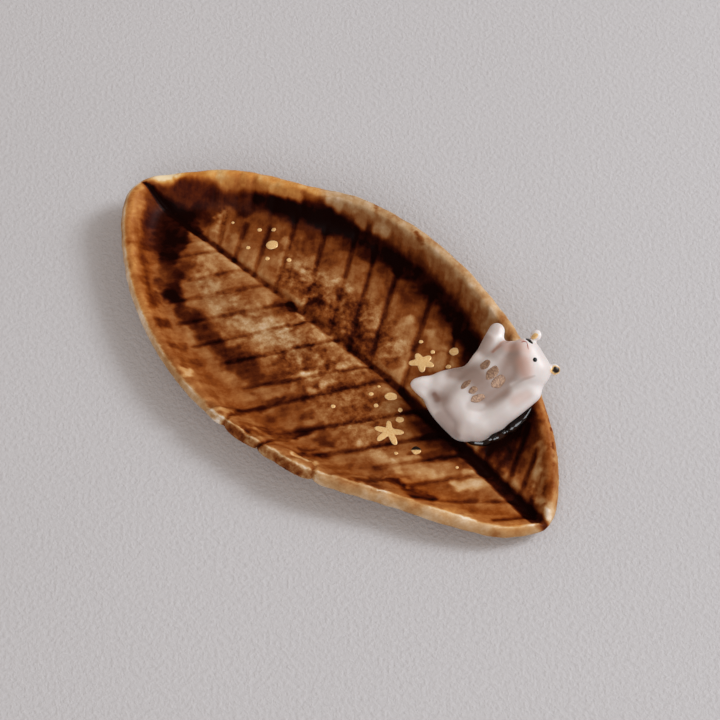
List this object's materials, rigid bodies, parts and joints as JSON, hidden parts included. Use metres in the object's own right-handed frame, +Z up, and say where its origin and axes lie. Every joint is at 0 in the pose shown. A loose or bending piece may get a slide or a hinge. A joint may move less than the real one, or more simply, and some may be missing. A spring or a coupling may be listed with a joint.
{
  "type": "leaf dish",
  "caption": "Shallow leaf-shaped ceramic trinket dish with pressed veins and a raised rim, and a small porcelain bear lying on its back at one side.",
  "frame": {"origin": "middle of the flat resting foot, under the dish", "axes": "+X along the midrib from the leaf's tip to its stem, +Y to the side that carries the bear, +Z up"},
  "size_m": [0.1209, 0.0633, 0.0209],
  "materials": {
    "stoneware_glaze": "cream stoneware under a glossy amber to dark brown glaze that pools in the veins",
    "dark_glaze": "thick glossy black-brown glaze",
    "porcelain": "smooth white porcelain under clear glaze",
    "black_underglaze": "black underglaze, glossy",
    "gold_lustre": "bright gold lustre"
  },
  "bodies": {
    "root": {"leaf_dish": "stoneware_glaze", "glaze_pool": "dark_glaze", "bear_torso": "porcelain", "bear_head": "porcelain", "bear_ear_left": "porcelain", "bear_ear_right": "porcelain", "bear_arm_left": "porcelain", "bear_arm_right": "porcelain", "bear_leg_left": "porcelain", "bear_leg_right": "porcelain", "bear_eye_left": "black_underglaze", "bear_eye_right": "black_underglaze", "bear_nose": "black_underglaze", "gold_star_1": "gold_lustre", "gold_star_2": "gold_lustre", "gold_dot_01": "gold_lustre", "gold_dot_02": "gold_lustre", "gold_dot_03": "gold_lustre", "gold_dot_04": "gold_lustre", "gold_dot_05": "gold_lustre", "gold_dot_06": "gold_lustre", "gold_dot_07": "gold_lustre", "gold_dot_08": "gold_lustre", "gold_dot_09": "gold_lustre", "gold_dot_10": "gold_lustre", "gold_dot_11": "gold_lustre", "gold_dot_12": "gold_lustre", "gold_dot_13": "gold_lustre", "gold_dot_14": "gold_lustre", "gold_dot_15": "gold_lustre", "gold_dot_16": "gold_lustre", "gold_dot_17": "gold_lustre", "gold_dot_18": "gold_lustre", "gold_dot_19": "gold_lustre", "gold_dot_20": "gold_lustre", "gold_dot_21": "gold_lustre", "belly_spot_1": "gold_lustre", "belly_spot_2": "gold_lustre", "belly_spot_3": "gold_lustre", "belly_spot_4": "gold_lustre", "belly_spot_5": "gold_lustre", "belly_spot_6": "gold_lustre", "ear_gold_left": "gold_lustre", "ear_gold_right": "gold_lustre"}
  },
  "joints": []
}
